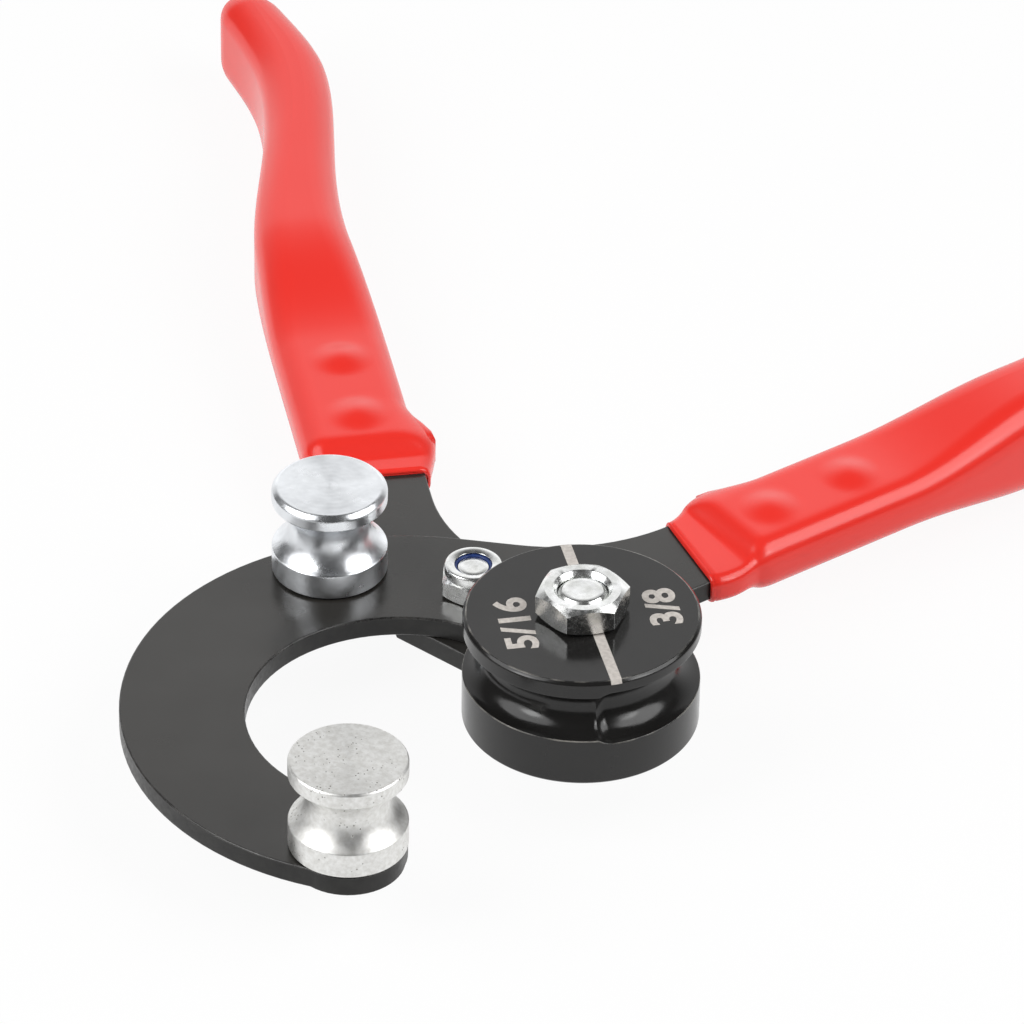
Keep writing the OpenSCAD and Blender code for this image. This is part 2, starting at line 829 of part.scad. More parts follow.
// Vinyl dip: a sock over the tube, a thinner cuff over the plate's neck
CUFF_STEPS = 5;
CUFF_ROUND = 0.6;
CLOSING_TURN = 82;
MOUTH_RISE = [[0.07, 0.36], [0.31, 0.77]];
step_s = -tube_lead - dip_gap;
cuff_to = step_s - vinyl_t;
cuff_t = plate_t / 2 + neck_vinyl_t;
lining_t = plate_t / 2 + dip_gap;
function cuff_ring(s, t, reach_in, reach_out, r, slope) = [
    for (p = section((reach_in + reach_out) / 2, t, r))
        let (x = p.x + (reach_out - reach_in) / 2)
        [x, s + slope * x, p.y]
];
function cuff_skin(s, lead, slope) =
    let (k = (s + lead) / (cuff_to + lead))
    let (reach_in = neck_in + neck_vinyl_t)
    let (reach_out = neck_out + neck_vinyl_t + neck_bead * sin(180 * k))
    cuff_ring(s, cuff_t, mix(reach_in, bulge_reach, bulge(s)), reach_out,
        cuff_t * CUFF_ROUND, slope * (1 - k));
function mouth_ring(foot, mouth, rise) = [
    for (i = [0:RING_SIZE - 1])
        let (p = mix(foot[i], mouth[i], rise[1]))
        [p.x, mix(foot[i].y, mouth[i].y, rise[0]), p.z]
];

module handle_grip(shift, lead, slope) {
    stations = concat(rivet_stations, palm_stations);
    lining_out = neck_out + dip_gap;
    lining_in = neck_in + dip_gap;
    foot = cuff_skin(cuff_to, lead, slope);
    mouth = tube_ring(first_station, shift, vinyl_t, 1, 1);
    color("#e5291f")
        loft(concat(
            [for (i = [len(tip_turns) - 1:-1:0]) tip_ring(tip_turns[i], shift, dip_gap)],
            [for (i = [len(stations) - 1:-1:0]) tube_ring(stations[i], shift, dip_gap, 1)],
            [tube_ring(step_s, shift, dip_gap)],
            [cuff_ring(step_s, lining_t, lining_in + shoulder_ear, lining_out, dip_gap, 0)],
            [cuff_ring(-lead, lining_t, lining_in, lining_out, dip_gap, slope)],
            [for (i = [0:CUFF_STEPS]) cuff_skin(mix(-lead, cuff_to, i / CUFF_STEPS), lead, slope)],
            [for (rise = MOUTH_RISE) mouth_ring(foot, mouth, rise)],
            [for (s = stations) tube_ring(s, shift, vinyl_t, 1, 1)],
            [for (turn = concat(tip_turns, [CLOSING_TURN])) tip_ring(turn, shift, vinyl_t)]
        ));
}

module jaw_handle_tube() {
    on_jaw_handle()
        handle_tube(jaw_flat_shift);
}

module jaw_front_rivet() {
    on_jaw_handle()
        rivet();
}

module jaw_rear_rivet() {
    on_jaw_handle()
        translate([0, rivet_pitch, 0])
            rivet();
}

module jaw_handle_grip() {
    on_jaw_handle()
        handle_grip(jaw_flat_shift, jaw_dip_lead, jaw_dip_slope);
}

module die_handle_tube() {
    on_die_handle()
        handle_tube(die_flat_shift);
}

module die_front_rivet() {
    on_die_handle()
        rivet();
}

module die_rear_rivet() {
    on_die_handle()
        translate([0, rivet_pitch, 0])
            rivet();
}

module die_handle_grip() {
    on_die_handle()
        handle_grip(die_flat_shift, die_dip_lead, die_dip_slope);
}

jaw_plate();
die_plate();
pivot_bolt();
pivot_washer();
pivot_lock_nut();
lock_nut_ring();
front_roller();
front_roller_washer();
rear_roller();
rear_roller_washer();
bending_die();
die_bolt();
die_nut();
jaw_handle_tube();
jaw_front_rivet();
jaw_rear_rivet();
jaw_handle_grip();
die_handle_tube();
die_front_rivet();
die_rear_rivet();
die_handle_grip();
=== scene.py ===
import math

import bmesh
import bpy
from mathutils import Matrix, Vector, noise


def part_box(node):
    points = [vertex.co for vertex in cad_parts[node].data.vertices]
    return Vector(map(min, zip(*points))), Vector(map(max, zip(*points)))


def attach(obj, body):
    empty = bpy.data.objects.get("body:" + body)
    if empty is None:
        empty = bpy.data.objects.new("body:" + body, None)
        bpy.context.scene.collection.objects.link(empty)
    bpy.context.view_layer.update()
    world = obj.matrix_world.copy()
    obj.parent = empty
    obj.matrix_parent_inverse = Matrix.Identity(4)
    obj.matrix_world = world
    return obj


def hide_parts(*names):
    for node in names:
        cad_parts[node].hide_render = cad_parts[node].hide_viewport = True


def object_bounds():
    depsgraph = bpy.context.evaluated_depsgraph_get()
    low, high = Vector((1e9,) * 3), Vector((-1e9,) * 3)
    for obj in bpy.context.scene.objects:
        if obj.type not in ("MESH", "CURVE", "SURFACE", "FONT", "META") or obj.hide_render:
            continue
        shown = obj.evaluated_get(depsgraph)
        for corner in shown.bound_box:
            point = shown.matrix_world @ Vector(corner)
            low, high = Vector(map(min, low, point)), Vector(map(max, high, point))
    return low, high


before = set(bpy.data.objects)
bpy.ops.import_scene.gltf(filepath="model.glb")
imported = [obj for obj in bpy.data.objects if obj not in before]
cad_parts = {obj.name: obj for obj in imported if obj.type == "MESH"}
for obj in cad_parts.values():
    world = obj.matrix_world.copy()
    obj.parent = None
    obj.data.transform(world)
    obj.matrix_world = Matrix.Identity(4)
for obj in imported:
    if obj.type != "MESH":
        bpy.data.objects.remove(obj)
cad_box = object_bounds()

# The camera stands in front of the jaw and a little to its right, about a metre away, and looks
# down on the tool through a long lens. The picture is square and leans by less than a degree.
camera_at = Vector((0.3796, -0.9569, 0.7585))
camera_aim = Vector((-0.0022, 0.0222, 0.0108))
camera_lean = math.radians(0.84)
long_lens = bpy.data.cameras.new("long_lens")
long_lens.sensor_width = 36
long_lens.lens = 281.25
camera = bpy.data.objects.new("long_lens", long_lens)
camera.matrix_world = (
    Matrix.Translation(camera_at)
    @ (camera_aim - camera_at).to_track_quat("-Z", "Y").to_matrix().to_4x4()
    @ Matrix.Rotation(camera_lean, 4, "Z")
)
bpy.context.scene.collection.objects.link(camera)
bpy.context.scene.camera = camera
bpy.context.scene.view_settings.view_transform = "Standard"

# The two arms are flat plates of mild steel, 3.5 mm thick, cut to outline and blackened. The
# black is a thin satin coat, rubbed in places on the broken edges. The cut walls are duller,
# and their colour is painted darker than the top as painted shade.
MM = 0.001


def new_finish(name, colour, rough, metal=0.0, shine=0.5):
    finish = bpy.data.materials.new(name)
    finish.use_nodes = True
    shader = finish.node_tree.nodes["Principled BSDF"]
    shader.inputs["Base Color"].default_value = (*colour, 1)
    shader.inputs["Roughness"].default_value = rough
    shader.inputs["Metallic"].default_value = metal
    shader.inputs["Specular IOR Level"].default_value = shine
    return finish


def add_noise(finish, per_mm, stretch=(1, 1, 1), detail=4):
    tree = finish.node_tree
    place = tree.nodes.new("ShaderNodeTexCoord")
    scaled = tree.nodes.new("ShaderNodeMapping")
    scaled.inputs["Scale"].default_value = stretch
    cloud = tree.nodes.new("ShaderNodeTexNoise")
    cloud.inputs["Scale"].default_value = per_mm / MM
    cloud.inputs["Detail"].default_value = detail
    tree.links.new(place.outputs["Object"], scaled.inputs["Vector"])
    tree.links.new(scaled.outputs["Vector"], cloud.inputs["Vector"])
    return cloud.outputs["Fac"]


def mottle(finish, pattern, dark, pale, low=0.35, high=0.65):
    tree = finish.node_tree
    ramp = tree.nodes.new("ShaderNodeValToRGB")
    ramp.color_ramp.elements[0].position = low
    ramp.color_ramp.elements[0].color = (*dark, 1)
    ramp.color_ramp.elements[1].position = high
    ramp.color_ramp.elements[1].color = (*pale, 1)
    tree.links.new(pattern, ramp.inputs["Fac"])
    tree.links.new(ramp.outputs["Color"], tree.nodes["Principled BSDF"].inputs["Base Color"])


def vary_gloss(finish, pattern, smooth, rough, low=0.3, high=0.7):
    tree = finish.node_tree
    spread = tree.nodes.new("ShaderNodeMapRange")
    spread.inputs["From Min"].default_value = low
    spread.inputs["From Max"].default_value = high
    spread.inputs["To Min"].default_value = smooth
    spread.inputs["To Max"].default_value = rough
    tree.links.new(pattern, spread.inputs["Value"])
    tree.links.new(spread.outputs["Result"], tree.nodes["Principled BSDF"].inputs["Roughness"])


def emboss(finish, pattern, height_mm):
    tree = finish.node_tree
    shader = tree.nodes["Principled BSDF"]
    bump = tree.nodes.new("ShaderNodeBump")
    bump.inputs["Distance"].default_value = height_mm * MM
    bump.inputs["Strength"].default_value = 1
    below = shader.inputs["Normal"].links
    if below:
        tree.links.new(below[0].from_socket, bump.inputs["Normal"])
    tree.links.new(pattern, bump.inputs["Height"])
    tree.links.new(bump.outputs["Normal"], shader.inputs["Normal"])


def make_piece(name, points, faces, finishes, marked=None):
    skin = bpy.data.meshes.new(name)
    skin.from_pydata([Vector(p) * MM for p in points], [], faces)
    for finish in finishes:
        skin.materials.append(finish)
    for slot, which in (marked or {}).items():
        for i in which:
            skin.polygons[i].material_index = slot
    same_spot = 1e-7
    tidy = bmesh.new()
    tidy.from_mesh(skin)
    bmesh.ops.remove_doubles(tidy, verts=tidy.verts, dist=same_spot)
    bmesh.ops.dissolve_degenerate(tidy, edges=tidy.edges, dist=same_spot)
    bmesh.ops.recalc_face_normals(tidy, faces=tidy.faces)
    tidy.to_mesh(skin)
    tidy.free()
    crease = math.radians(50)
    skin.shade_smooth()
    skin.set_sharp_from_angle(angle=crease)
    piece = bpy.data.objects.new(name, skin)
    bpy.context.scene.collection.objects.link(piece)
    flats = piece.modifiers.new("flats_stay_flat", "WEIGHTED_NORMAL")
    flats.weight = 100
    flats.keep_sharp = True
    return piece


def top_faces(node):
    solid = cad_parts[node].data
    top = max(v.co.z for v in solid.vertices)
    level = 1e-6
    flat = []
    for face in solid.polygons:
        corners = [solid.vertices[i].co for i in face.vertices]
        if any(top - c.z > level for c in corners):
            continue
        # A sliver with two corners on one spot would break the outline.
        spots = [(round(c.x / MM, 4), round(c.y / MM, 4)) for c in corners]
        if len(set(spots)) == len(spots):
            flat.append(spots)
    return flat


def outlines_of(flat):
    around = {edge for spots in flat for edge in zip(spots, spots[1:] + spots[:1])}
    ahead = {a: b for a, b in around if (b, a) not in around}
    outlines = []
    while ahead:
        outline = [min(ahead)]
        while outline[-1] in ahead:
            outline.append(ahead.pop(outline[-1]))
        outlines.append(outline[:-1])
    return outlines


def drawn_in(outline, inset):
    spots = [Vector(p) for p in outline]
    sharpest = 0.4
    moved = []
    for i, spot in enumerate(spots):
        before = (spot - spots[i - 1]).normalized()
        after = (spots[(i + 1) % len(spots)] - spot).normalized()
        lean = Vector((-before.y - after.y, before.x + after.x))
        moved.append(spot + lean * inset / max(sharpest, 1 + before.dot(after)))
    return moved


def cut_plate(node, finishes):
    low, high = (corner.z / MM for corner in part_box(node))
    broken = 0.3
    turns = [math.radians(a) for a in (0, 30, 60, 90)]
    levels = [(broken * (1 - math.sin(t)), high - broken * (1 - math.cos(t))) for t in turns]
    levels += [(inset, low + high - z) for inset, z in reversed(levels)]
    flat = top_faces(node)
    points, faces, marked = [], [], {1: [], 2: []}
    over, under = {}, {}
    for outline in outlines_of(flat):
        size = len(outline)
        start = len(points)
        for k, (inset, z) in enumerate(levels):
            points += [(p.x, p.y, z) for p in drawn_in(outline, inset)]
            for i in range(size if k else 0):
                a, j = start + (k - 1) * size, (i + 1) % size
                # Slot 1 marks the broken edges and slot 2 the cut wall, whose colour carries
                # painted shade.
                marked[2 if k == len(turns) else 1].append(len(faces))
                faces.append((a + i, a + j, a + size + j, a + size + i))
        for i, spot in enumerate(outline):
            over[spot] = start + i
            under[spot] = len(points) - size + i
    for spots in flat:
        for side, z in ((over, high), (under, low)):
            for spot in spots:
                if spot not in side:
                    side[spot] = len(points)
                    points.append((*spot, z))
            faces.append([side[spot] for spot in spots])
    return make_piece(node + "_sheet", points, faces, finishes, marked)


plate_black = new_finish("satin_black_plate", (0.028, 0.0265, 0.024), 0.26)
mottle(plate_black, add_noise(plate_black, 0.05), (0.024, 0.0225, 0.02), (0.032, 0.0305, 0.028))
vary_gloss(plate_black, add_noise(plate_black, 0.4), 0.2, 0.268)
emboss(plate_black, add_noise(plate_black, 2.2), 0.003)
emboss(plate_black, add_noise(plate_black, 0.09, detail=2), 0.012)
plate_edge = new_finish("broken_black_edge", (0.03, 0.029, 0.027), 0.3)
mottle(
    plate_edge, add_noise(plate_edge, 0.3), (0.02, 0.019, 0.018), (0.06, 0.058, 0.055), 0.4, 0.72
)
vary_gloss(plate_edge, add_noise(plate_edge, 1.0), 0.2, 0.34)
# The cut walls are rougher and less shiny than the top, and their darker colour is painted shade.
plate_wall_painted_shade = new_finish("cut_black_wall_painted_shade", (0.013, 0.0125, 0.0115), 0.36, shine=0.36)
mottle(plate_wall_painted_shade, add_noise(plate_wall_painted_shade, 0.4), (0.01, 0.0095, 0.009), (0.018, 0.0175, 0.016))
vary_gloss(plate_wall_painted_shade, add_noise(plate_wall_painted_shade, 1.2), 0.28, 0.44)
emboss(plate_wall_painted_shade, add_noise(plate_wall_painted_shade, 1.5, (1, 1, 0.1)), 0.006)
for node, arm in (("die_plate", "die_arm"), ("jaw_plate", "jaw_arm")):
    plate = cut_plate(node, [plate_black, plate_edge, plate_wall_painted_shade])
    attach(plate, arm)
    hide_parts(node)

# The arms turn on a small bolt, put in from below with a washer under its head. Bolt and washer
# are cold formed steel, bright zinc plated.
ROUND = 144


def soften(profile):
    steps = 4
    eased = []
    for i, (r, z, soft) in enumerate(profile):
        here = Vector((r, z))
        if soft == 0:
            eased.append(here)
            continue
        back = Vector(profile[i - 1][:2]) - here
        on = Vector(profile[(i + 1) % len(profile)][:2]) - here
        start = here + back.normalized() * min(soft, back.length / 2)
        end = here + on.normalized() * min(soft, on.length / 2)
        for k in range(steps + 1):
            t = k / steps
            eased.append(start * (1 - t) ** 2 + here * 2 * t * (1 - t) + end * t ** 2)
    return eased


def make_skin(name, rings, finishes, joined=False):
    size = len(rings[0])
    points = [p for ring in rings for p in ring]
    faces = []
    for k in range(len(rings) if joined else len(rings) - 1):
        a, b = k * size, (k + 1) % len(rings) * size
        for i in range(size):
            j = (i + 1) % size
            faces.append((a + i, a + j, b + j, b + i))
    if not joined:
        for ring, first in ((rings[0], 0), (rings[-1], len(points) - size)):
            points.append(sum((Vector(p) for p in ring), Vector()) / size)
            hub = len(points) - 1
            for i in range(size):
                faces.append((first + i, first + (i + 1) % size, hub))
    return make_piece(name, points, faces, finishes)


def turned(name, profile, finishes, axis, joined=False):
    spin = [2 * math.pi * i / ROUND for i in range(ROUND)]
    rings = [[(r * math.cos(a), r * math.sin(a), z) for a in spin] for r, z in profile]
    piece = make_skin(name, rings, finishes, joined)
    piece.location = (axis.x, axis.y, 0)
    return piece


def hex_ring(across_flats, turn):
    soft, per_flat = 0.22, 10
    half = across_flats / 2
    side = half * math.tan(math.pi / 6)
    trim = soft * math.tan(math.pi / 6)
    ring = []
    for k in range(6):
        out = math.radians(30 + 60 * k) + turn
        face = Vector((math.cos(out), math.sin(out)))
        along = Vector((-face.y, face.x))
        for i in range(per_flat + 1):
            ring.append(face * half + along * (side - trim) * (2 * i / per_flat - 1))
        tip = face * half + along * side
        spun = out + math.pi / 3
        ahead = Vector((math.cos(spun), math.sin(spun)))
        start, end = ring[-1], ahead * half - Vector((-ahead.y, ahead.x)) * (side - trim)
        for t in (0.25, 0.5, 0.75):
            ring.append(start * (1 - t) ** 2 + tip * 2 * t * (1 - t) + end * t ** 2)
    return ring


def round_like(ring, radius, z):
    return [(p.x / p.length * radius, p.y / p.length * radius, z) for p in ring]


def hex_walls(ring, across_flats, low, high, high_bevel=True):
    face_r = across_flats * 0.46
    fall = math.tan(math.radians(30))
    rows = []
    for z, side, bevelled in ((low, 1, True), (high, -1, high_bevel)):
        if bevelled:
            edge = [(p.x, p.y, z + side * (p.length - face_r) * fall) for p in ring]
            rows.append([round_like(ring, face_r, z), edge][::side])
        else:
            rows.append([[(p.x, p.y, z) for p in ring]])
    return rows[0] + rows[1]


def hex_bolt(name, low, seat, end, across_flats, shank_r, finishes, axis, turn, point):
    ring = hex_ring(across_flats, turn)
    shank = [
        (shank_r + 0.2, seat), (shank_r, seat + 0.2), (shank_r, end - point - 0.1),
        (shank_r - 0.08, end - point + 0.05), (shank_r - point, end - 0.08),
        (shank_r - point - 0.15, end), (shank_r * 0.6, end - 0.03), (shank_r * 0.3, end - 0.06),
    ]
    rings = hex_walls(ring, across_flats, low, seat, high_bevel=False)
    rings += [round_like(ring, r, z) for r, z in shank]
    piece = make_skin(name, rings, finishes)
    piece.location = (axis.x, axis.y, 0)
    return piece


def axis_of(node):
    low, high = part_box(node)
    return (low + high) / 2


def stand_for(piece, node, arm):
    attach(piece, arm)
    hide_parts(node)


fastener_zinc = new_finish("bright_zinc", (0.88, 0.88, 0.86), 0.22, 1.0)
mottle(fastener_zinc, add_noise(fastener_zinc, 0.5), (0.7, 0.71, 0.69), (0.9, 0.91, 0.91))
vary_gloss(fastener_zinc, add_noise(fastener_zinc, 1.3), 0.16, 0.32)
emboss(fastener_zinc, add_noise(fastener_zinc, 0.7, detail=2), 0.005)
arm_turn = math.radians(32.5)
pivot = axis_of("lock_nut_ring")
pivot_flats, pivot_shank_r, pivot_point = 9.5, 2.5, 0.12
bolt_foot, bolt_end = (corner.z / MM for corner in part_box("pivot_bolt"))
bolt_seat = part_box("pivot_washer")[0].z / MM
pivot_bolt = hex_bolt(
    "pivot_hex_bolt", bolt_foot, bolt_seat, bolt_end, pivot_flats, pivot_shank_r, [fastener_zinc],
    pivot, 0, pivot_point,
)
stand_for(pivot_bolt, "pivot_bolt", "jaw_arm")


def flat_washer(name, node, bore_r, rim_r, arm):
    low, high = (corner.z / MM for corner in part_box(node))
    edge = 0.18
    ring = [(bore_r, low, edge), (rim_r, low, edge), (rim_r, high, edge), (bore_r, high, edge)]
    washer = turned(name, soften(ring), [fastener_zinc], axis_of(node), joined=True)
    stand_for(washer, node, arm)


flat_washer("pivot_flat_washer", "pivot_washer", 2.55, 6, "jaw_arm")

# The lock nut on top of the pivot is a zinc plated hexagon with a round collar. The collar's lip is
# rolled over a blue nylon ring, which grips the bolt's end.
lock_foot, lock_top = (corner.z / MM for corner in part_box("pivot_lock_nut"))
lock_hex = hex_ring(pivot_flats, math.radians(21) - arm_turn)
lock_shoulder = lock_foot + 3.6
lock_collar = [
    (4.6, lock_shoulder - 0.05, 0.1), (4.6, lock_top - 0.1, 0.5), (3.9, lock_top, 0.5),
    (2.96, lock_top - 0.25, 0.12), (3.15, lock_top - 0.47, 0.05), (3.15, lock_shoulder, 0),
    (2.55, lock_shoulder, 0), (2.55, lock_foot, 0),
]
lock_rings = hex_walls(lock_hex, pivot_flats, lock_foot, lock_shoulder)
lock_rings += [round_like(lock_hex, r, z) for r, z in soften(lock_collar)]
lock_nut = make_skin("pivot_nut", lock_rings, [fastener_zinc], joined=True)
lock_nut.data.set_sharp_from_angle(angle=math.radians(25))
lock_nut.location = (pivot.x, pivot.y, 0)
stand_for(lock_nut, "pivot_lock_nut", "jaw_arm")
nylon_blue = new_finish("blue_nylon", (0.014, 0.035, 0.16), 0.4)
mottle(nylon_blue, add_noise(nylon_blue, 0.9), (0.01, 0.028, 0.13), (0.02, 0.05, 0.2))
vary_gloss(nylon_blue, add_noise(nylon_blue, 2.0), 0.3, 0.5)
nylon_foot, nylon_top = (corner.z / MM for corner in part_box("lock_nut_ring"))
nylon_profile = [
    (2.55, nylon_foot, 0), (3.13, nylon_foot, 0), (3.13, nylon_top, 0.15), (2.6, nylon_top, 0.25),
]
nylon_ring = turned("nylon_insert", soften(nylon_profile), [nylon_blue], pivot, joined=True)
stand_for(nylon_ring, "lock_nut_ring", "jaw_arm")

# Two grooved rollers are turned from steel bar and zinc plated. Each has its spindle in one piece
# with it, goes through the jaw plate and a washer, and is peened over underneath.
def roller_profile(low, top, chamfer, chamfer_soft):
    body_r, neck_r, groove_r, tube_z, foot = 9.245, 6.5, 4.845, top - 7, top - 15.7
    centre_r = neck_r + groove_r
    lip = math.acos((centre_r - body_r) / groove_r)
    groove = []
    for k in range(25):
        a = lip * (k / 12 - 1)
        groove.append((centre_r - groove_r * math.cos(a), tube_z + groove_r * math.sin(a), 0))
    groove[0] = groove[0][:2] + (0.22,)
    groove[-1] = groove[-1][:2] + (0.22,)
    return soften(
        [(1, low, 0), (5.3, low, 0.3), (5.75, low + 0.4, 0.3), (5.75, low + 1, 0.1)]
        + [(4.5, low + 1, 0), (4.5, foot, 0), (body_r, foot, 0.3)] + groove
        + [(body_r, top - chamfer, chamfer_soft), (body_r - chamfer, top, chamfer_soft)]
        + [(1, top, 0)]
    )


def lathe_marks(finish, ring_gap_mm, height_mm, side_height_mm, drawn_out=0.0):
    unscaled_gap = 0.31
    tree = finish.node_tree
    place = tree.nodes.new("ShaderNodeTexCoord")
    rings = tree.nodes.new("ShaderNodeTexWave")
    rings.wave_type = "RINGS"
    rings.rings_direction = "Z"
    rings.inputs["Scale"].default_value = unscaled_gap / ring_gap_mm / MM
    rings.inputs["Distortion"].default_value = 0.6
    rings.inputs["Detail"].default_value = 3
    tree.links.new(place.outputs["Object"], rings.inputs["Vector"])
    emboss(finish, rings.outputs["Fac"], height_mm)
    emboss(finish, add_noise(finish, 0.05, (1, 1, 60)), side_height_mm)
    around = tree.nodes.new("ShaderNodeTangent")
    around.direction_type = "RADIAL"
    around.axis = "Z"
    shader = tree.nodes["Principled BSDF"]
    shader.inputs["Anisotropic"].default_value = drawn_out
    shader.inputs["Anisotropic Rotation"].default_value = 0.25
    tree.links.new(around.outputs["Tangent"], shader.inputs["Tangent"])


def pit(finish, per_mm, reach, patch_per_mm):
    depth_mm, rust_brown = 0.04, (0.11, 0.1, 0.08, 1)
    tree = finish.node_tree
    shader = tree.nodes["Principled BSDF"]
    place = tree.nodes.new("ShaderNodeTexCoord")
    cells = tree.nodes.new("ShaderNodeTexVoronoi")
    cells.inputs["Scale"].default_value = per_mm / MM
    near = tree.nodes.new("ShaderNodeMapRange")
    near.inputs["From Min"].default_value = reach * 0.5
    near.inputs["From Max"].default_value = reach
    spared = tree.nodes.new("ShaderNodeMapRange")
    spared.inputs["From Min"].default_value = 0.58
    spared.inputs["From Max"].default_value = 0.5
    whole = tree.nodes.new("ShaderNodeMath")
    whole.operation = "MAXIMUM"
    stain = tree.nodes.new("ShaderNodeMix")
    stain.data_type = "RGBA"
    stain.inputs[6].default_value = rust_brown
    clean = shader.inputs["Base Color"].links[0].from_socket
    tree.links.new(place.outputs["Object"], cells.inputs["Vector"])
    tree.links.new(cells.outputs["Distance"], near.inputs["Value"])
    tree.links.new(add_noise(finish, patch_per_mm, detail=2), spared.inputs["Value"])
    tree.links.new(near.outputs["Result"], whole.inputs[0])
    tree.links.new(spared.outputs["Result"], whole.inputs[1])
    tree.links.new(whole.outputs[0], stain.inputs[0])
    tree.links.new(clean, stain.inputs[7])
    tree.links.new(stain.outputs[2], shader.inputs["Base Color"])
    emboss(finish, whole.outputs[0], depth_mm)


front_zinc = new_finish("pitted_zinc", (0.74, 0.74, 0.72), 0.36, 1.0)
mottle(front_zinc, add_noise(front_zinc, 1.4, detail=8), (0.74, 0.735, 0.71), (0.88, 0.88, 0.865))
vary_gloss(front_zinc, add_noise(front_zinc, 0.5), 0.4, 0.52)
emboss(front_zinc, add_noise(front_zinc, 1.6, detail=6), 0.012)
lathe_marks(front_zinc, 0.5, 0.002, 0.01, 0.4)
pit(front_zinc, 1.3, 0.2, 0.22)
rear_zinc = new_finish("polished_zinc", (0.8, 0.82, 0.84), 0.26, 1.0)
mottle(rear_zinc, add_noise(rear_zinc, 0.25, detail=6), (0.78, 0.8, 0.825), (0.89, 0.915, 0.945))
vary_gloss(rear_zinc, add_noise(rear_zinc, 0.3), 0.24, 0.4)
emboss(rear_zinc, add_noise(rear_zinc, 0.4, (1, 1, 0.6), detail=3), 0.05)
lathe_marks(rear_zinc, 1.1, 0.003, 0.012, 0.6)
for side, chamfer, soft, zinc in (("front", 0.3, 0.12, front_zinc), ("rear", 0.75, 0.3, rear_zinc)):
    node, unit = side + "_roller", side + "_roller_unit"
    low, top = (corner.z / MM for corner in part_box(node))
    profile = roller_profile(low, top, chamfer, soft)
    roller = turned(node + "_turning", profile, [zinc], axis_of(node))
    stand_for(roller, node, unit)
    flat_washer(node + "_flat_washer", node + "_washer", 4.55, 7, unit)

# The bending die is turned from steel and blackened. Half of its rim is grooved for the smaller
# tube and half for the larger, and the grooves meet in a step at the divider line.
die_foot, die_top = (corner.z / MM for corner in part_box("bending_die"))
die_axis = axis_of("bending_die")
die_rim, die_bore = 18.6, 4.05


def die_profile(groove_r):
    tube_z, lips, chamfer, soft = die_top - 7.045, 0.2, 0.5, 0.2
    groove = []
    for k in range(33):
        a = math.pi * (k / 32 - 0.5)
        groove.append((die_rim - groove_r * math.cos(a), tube_z + groove_r * math.sin(a), 0))
    groove[0] = groove[0][:2] + (lips,)
    groove[-1] = groove[-1][:2] + (lips,)
    return soften(
        [(die_bore, die_foot, soft), (die_rim - chamfer, die_foot, soft)]
        + [(die_rim, die_foot + chamfer, soft)] + groove
        + [(die_rim, die_top - chamfer, soft), (die_rim - chamfer, die_top, 0.13)]
        + [(die_bore, die_top, soft)]
    )


die_black = new_finish("blackened_die", (0.013, 0.0125, 0.012), 0.17, shine=0.42)
mottle(die_black, add_noise(die_black, 0.07), (0.011, 0.0105, 0.01), (0.015, 0.0145, 0.014))
vary_gloss(die_black, add_noise(die_black, 0.5), 0.13, 0.21)
emboss(die_black, add_noise(die_black, 2.0), 0.002)
lathe_marks(die_black, 0.45, 0.0008, 0.003)
# The rim's top corner and the groove's lower lip turn pale grey in patches: partly rubbed wear,
# partly a painted highlight along these edges.
die_edge_wear_and_highlight = new_finish("rubbed_die_edge_and_painted_highlight", (0.2, 0.195, 0.19), 0.28)
mottle(die_edge_wear_and_highlight, add_noise(die_edge_wear_and_highlight, 0.25), (0.02, 0.0195, 0.019), (0.22, 0.21, 0.19), 0.42, 0.66)
vary_gloss(die_edge_wear_and_highlight, add_noise(die_edge_wear_and_highlight, 0.9), 0.2, 0.36)
small_groove, large_groove = 4.05, 4.845
runs_out = (-2.5, -2.3, -1.6, -0.8, 0, 0.8, 1.6, 2.4, 3.3, 4.3)
spins = [(-90 + t, t) for t in runs_out]
spins += [(-85 + 2.5 * k, runs_out[-1]) for k in range(69)]
spins += [(90 - t, t) for t in reversed(runs_out)]
spins += [(95 + 2.5 * k, runs_out[0]) for k in range(69)]
meridians = []
for spin, past_step in spins:
    grown = (past_step - runs_out[0]) / (runs_out[-1] - runs_out[0])
    groove_r = large_groove - (large_groove - small_groove) * (1 - grown) ** 2
    a = arm_turn + math.radians(spin)
    meridians.append([(r * math.cos(a), r * math.sin(a), z) for r, z in die_profile(groove_r)])
size = len(meridians[0])
die_points = [p for line in meridians for p in line]
die_faces, die_worn_and_highlit_faces = [], []
# Rows on the rim's top corner and the groove's lower lip, which take the pale wear and painted
# highlight.
rim_rows = (*range(size - 10, size - 6), 15, 16, 17)
for k in range(len(meridians)):
    a, b = k * size, (k + 1) % len(meridians) * size
    for i in range(size):
        j = (i + 1) % size
        if i in rim_rows:
            die_worn_and_highlit_faces.append(len(die_faces))
        die_faces.append((a + i, a + j, b + j, b + i))
die = make_piece("grooved_die", die_points, die_faces, [die_black, die_edge_wear_and_highlight], {1: die_worn_and_highlit_faces})
die.location = (die_axis.x, die_axis.y, 0)
stand_for(die, "bending_die", "die")

# The die's top carries a divider line and the two tube sizes, cut through the black by laser, so
# that the pale dull steel shows.
mark_pale = new_finish("laser_mark", (0.56, 0.52, 0.48), 0.6)
mottle(mark_pale, add_noise(mark_pale, 1.5), (0.48, 0.445, 0.41), (0.62, 0.58, 0.54))
emboss(mark_pale, add_noise(mark_pale, 4.0), 0.01)
mark_z, mark_t = die_top, 0.02


def lay_mark(mark):
    mark.matrix_world = (
        Matrix.Translation(Vector((die_axis.x, die_axis.y, mark_z * MM)))
        @ Matrix.Rotation(arm_turn, 4, "Z")
    )
    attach(mark, "die")


